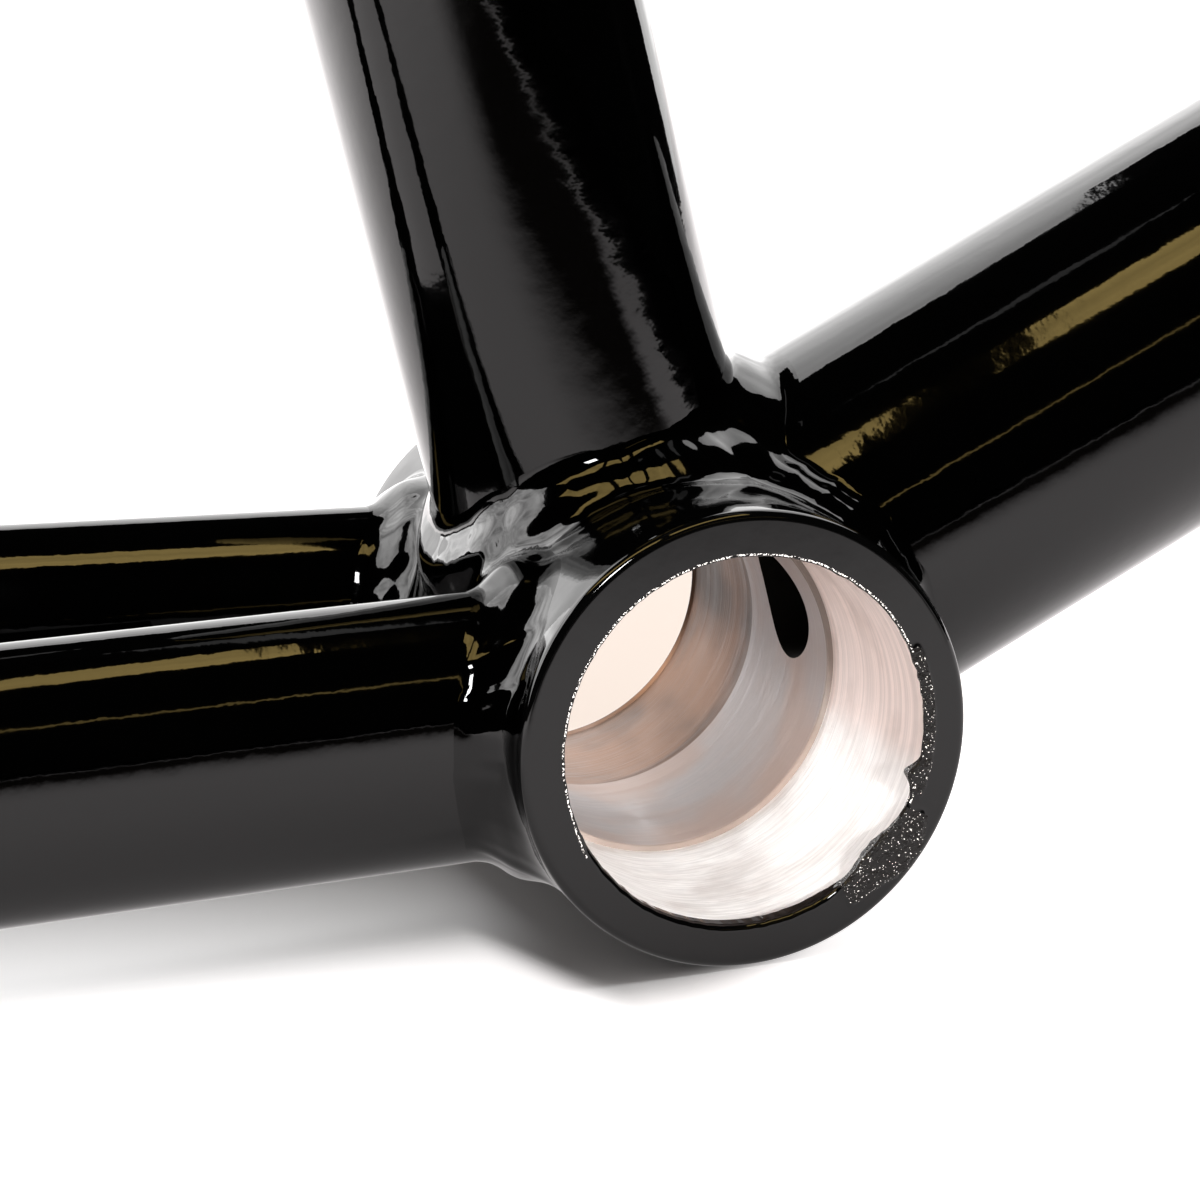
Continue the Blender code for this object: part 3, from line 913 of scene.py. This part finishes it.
def build_studio(bored_shell):
    """Floor, panels, lamps and the world."""
    corners = [(x * FLOOR_HALF, y * FLOOR_HALF, FLOOR_Z) for x, y in FLOOR_CORNERS]
    new_object("floor", corners, [[0, 1, 2, 3]], [floor_material()])
    high = [(110, 50), (114, 58), (120, 58), (140, 54), (160, 46), (176, 45), (182, 58), (203, 60)]
    low = [(azimuth, -12) for azimuth in (121, 123, 125, 140, 160, 176, 182, 203)]
    panel("backdrop", high, low, WHITE, 2.6)
    high = [(203, 58), (225, 52), (250, 46), (272, 40)]
    low = [(azimuth, 2) for azimuth in (203, 225, 250, 272)]
    panel("window_left", high, low, WHITE, 4.6, 0.45)
    high = [(150, 68), (103, 74), (72, 69)]
    panel("dim_strip", high, [(150, 65), (103, 71), (72, 66)], WHITE, 0.5)
    high = [(-13.6, 67.5), (-8, 68.5), (8, 67), (30, 65), (56, 66)]
    low = [(-4.6, 54.8), (0.4, 54), (4, 54.5), (32, 55.5), (40, 55)]
    panel("olive_strip", high, low, OLIVE, 4.0, 0.3)
    high = [(-88, 56), (-60, 60), (-36, 67), (-20.2, 66)]
    low = [(-86, 48), (-58, 51), (-30, 55), (-10.2, 52)]
    panel("olive_left", high, low, OLIVE, 3.8, 0.3)
    panel("dim_top", [(-50, 86), (-73, 84)], [(-50, 82), (-73, 79)], WHITE, 0.4)
    high = [(4, 24), (12, 25), (20, 25), (30, 23)]
    low = [(4, 23), (12, 24), (20, 24), (30, 22)]
    panel("gold_line", high, low, OLIVE, 1.6)
    pole = [(690.0, y, z) for y, z in ((-36.0, 2.0), (-26.0, 2.0), (-26.0, 260.0), (-36.0, 260.0))]
    quad("pole", pole, WHITE, 2.2)
    lamp("lamp_camera", -18.0, 32.0, 9.0, 9.0, 60.0)
    for name in STAYS + ("seat_tube", "down_tube"):
        flag(name, 420.0)
    # A black sheet between the stays, seen only by shiny things, shows black there in reflections.
    gap = ((-48.0, -20.0), (-108.0, -24.0), (-108.0, 24.0), (-48.0, 20.0))
    quad("between_stays", [(x, y, 28.0) for x, y in gap], BLACK, 0.3)

    world = bpy.data.worlds.new("room")
    bpy.context.scene.world = world
    world.use_nodes = True
    tree = world.node_tree
    tree.nodes.clear()
    path = tree.nodes.new("ShaderNodeLightPath")
    level = tree.nodes.new("ShaderNodeMapRange")
    level.inputs[3].default_value = 0.40
    level.inputs[4].default_value = 0.003
    tree.links.new(path.outputs["Is Glossy Ray"], level.inputs[0])
    sky = tree.nodes.new("ShaderNodeBackground")
    sky.inputs[0].default_value = (1.0, 0.94, 0.92, 1.0)
    tree.links.new(level.outputs[0], sky.inputs[1])
    out = tree.nodes.new("ShaderNodeOutputWorld")
    tree.links.new(sky.outputs[0], out.inputs[0])

    shell_only = bpy.data.collections.new("lit_by_bore_lights")
    shell_only.objects.link(bored_shell)
    mouth = (0.0, -0.03, 0.022)
    for name, spot, target, width, watts, colour in (
        ("overhead", (0.45, 0.60, 1.5), (0.0, 0.0, 0.02), 2.2, 66.0, (1.0, 1.0, 1.0)),
        ("bore_light_front", (0.012, -0.71, 0.203), mouth, 0.05, 15.0, (1.0, 1.0, 0.99)),
        ("bore_light_right", (0.43, -0.55, 0.12), mouth, 0.15, 3.0, (1.0, 1.0, 1.0)),
        ("bore_light_left", (-0.50, -0.50, 0.10), mouth, 0.25, 4.6, (1.0, 0.94, 0.92)),
    ):
        light = bpy.data.lights.new(name, "AREA")
        light.shape = "SQUARE"
        light.size = width
        light.energy = watts
        light.color = colour
        thing = bpy.data.objects.new(name, light)
        back = unit(np.array(spot) - np.array(target))
        side = unit(np.cross((0.0, 1.0, 0.0), back))
        up = np.cross(back, side)
        thing.matrix_world = Matrix(
            [[side[i], up[i], back[i], spot[i]] for i in range(3)] + [[0.0, 0.0, 0.0, 1.0]]
        )
        thing.visible_glossy = False
        thing.visible_camera = False
        bpy.context.scene.collection.objects.link(thing)
        if name.startswith("bore_light"):
            thing.light_linking.receiver_collection = shell_only


def build_camera():
    """The view from the right side of the bicycle, a little behind and above."""
    data = bpy.data.cameras.new("camera")
    data.sensor_width = 36.0
    data.sensor_height = 36.0
    data.lens = 98.42
    data.clip_start = 0.01
    data.clip_end = 30.0
    thing = bpy.data.objects.new("camera", data)
    right = (0.95197, -0.30420, -0.03474)
    up = (0.10825, 0.22828, 0.96756)
    back = [-c for c in VIEW_FORWARD]
    spot = (-0.101007, -0.314482, 0.113970)
    thing.matrix_world = Matrix(
        [[right[i], up[i], back[i], spot[i]] for i in range(3)] + [[0.0, 0.0, 0.0, 1.0]]
    )
    bpy.context.scene.collection.objects.link(thing)
    bpy.context.scene.camera = thing
    bpy.context.scene.view_settings.view_transform = "Standard"


# ---------------------------------------------------------------- the object
def bore_vent(shell):
    """The round hole between the shell's bore and the down tube."""
    a = math.radians(VENT_ANGLE)
    d = np.array((math.cos(a), 0.0, math.sin(a)))
    e = np.array((0.0, 1.0, 0.0))
    f = np.cross(d, e)
    angle = np.linspace(0.0, 2.0 * math.pi, 64, endpoint=False)
    ring = VENT_RADIUS * (np.cos(angle)[:, None] * e + np.sin(angle)[:, None] * f)
    centre = np.array((0.0, VENT_OFFSET, AXIS_HEIGHT))
    points = np.concatenate([centre + 12.0 * d + ring, centre + 30.0 * d + ring])
    faces = grid_faces(2, 64, False, True).tolist()
    faces.append(list(range(64))[::-1])
    faces.append(list(range(64, 128)))
    walls = list(shell.data.materials)
    cutter = new_object("vent_cutter", points, faces, walls, [VENT_WALL] * len(faces))
    cut = shell.modifiers.new("vent", "BOOLEAN")
    cut.operation = "DIFFERENCE"
    cut.solver = "EXACT"
    cut.object = cutter
    bpy.context.view_layer.update()
    graph = bpy.context.evaluated_depsgraph_get()
    made = bpy.data.meshes.new_from_object(shell.evaluated_get(graph), depsgraph=graph)
    made.name = "bottom_bracket_shell_bored"
    shell.modifiers.clear()
    shell.data = made
    bpy.data.objects.remove(cutter)


def build_object():
    """Every piece, each standing for its own node."""
    for weld in JOINTS:
        WELD_LINES[weld] = joint_line(weld)
    tube_coat = gloss_coat("tube_coat_black")
    shell_coat = gloss_coat("shell_coat_black", 0.8)
    weld_coat = gloss_coat("weld_coat_black", 1.3, 0.6, 1.43)
    steel = bare_steel("tube_steel_inside", (0.06, 0.052, 0.046), 0.5)
    sawn = bare_steel("tube_steel_sawn", (0.62, 0.60, 0.57), 0.30, 1500.0)
    # The seat's second tint is painted shade, pinker and darker above the line the mouth shades.
    bright, painted_shade = (0.92, 0.91, 0.90), (0.92, 0.80, 0.76)
    seat = turned_steel("turned_steel_bright", bright, 0.30, 0.00045, 0.00003, 0.3, 0.0, painted_shade)
    brown = (0.17, 0.105, 0.075)
    far_seat = turned_steel(
        "turned_steel_brown", brown, 0.34, 0.0008, 0.00002, 0.12, 0.4, bands=0.7, mirror=0.12
    )
    grey = (0.36, 0.325, 0.32)
    land = turned_steel("land_steel_grey", grey, 0.45, 0.0016, 0.00001, 0.30, 0.35)
    dull = (0.22, 0.185, 0.165)
    shoulder = turned_steel("shoulder_steel", dull, 0.45, 0.0008, 0.00001, 0.2, 0.1, mirror=0.3)
    patch = chipped_coat("chipped_black", 0.06)
    fringe = chipped_coat("scraped_edge", 0.62)
    # The vent's wall is drawn near black, as dark as the coat.
    wall = bare_steel("vent_wall_dark", (0.010, 0.009, 0.007), 0.6)
    made = {}
    for name in ("seat_tube", "down_tube") + STAYS:
        made[name] = (tube_piece(name, tube_coat, steel, sawn), "tube_coat")
    shell = shell_piece([shell_coat, seat, land, shoulder, far_seat, patch, fringe, wall])
    bore_vent(shell)
    made["bottom_bracket_shell"] = (shell, "shell_coat")
    for weld in JOINTS:
        made[weld] = (weld_piece(weld, weld_coat), "weld_coat")
    for node, (piece, slot) in made.items():
        if node not in JOINTS:
            piece.data.set_sharp_from_angle(angle=math.radians(35.0))
        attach(piece, "root")
        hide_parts(node)
    return shell


build_studio(build_object())
build_camera()
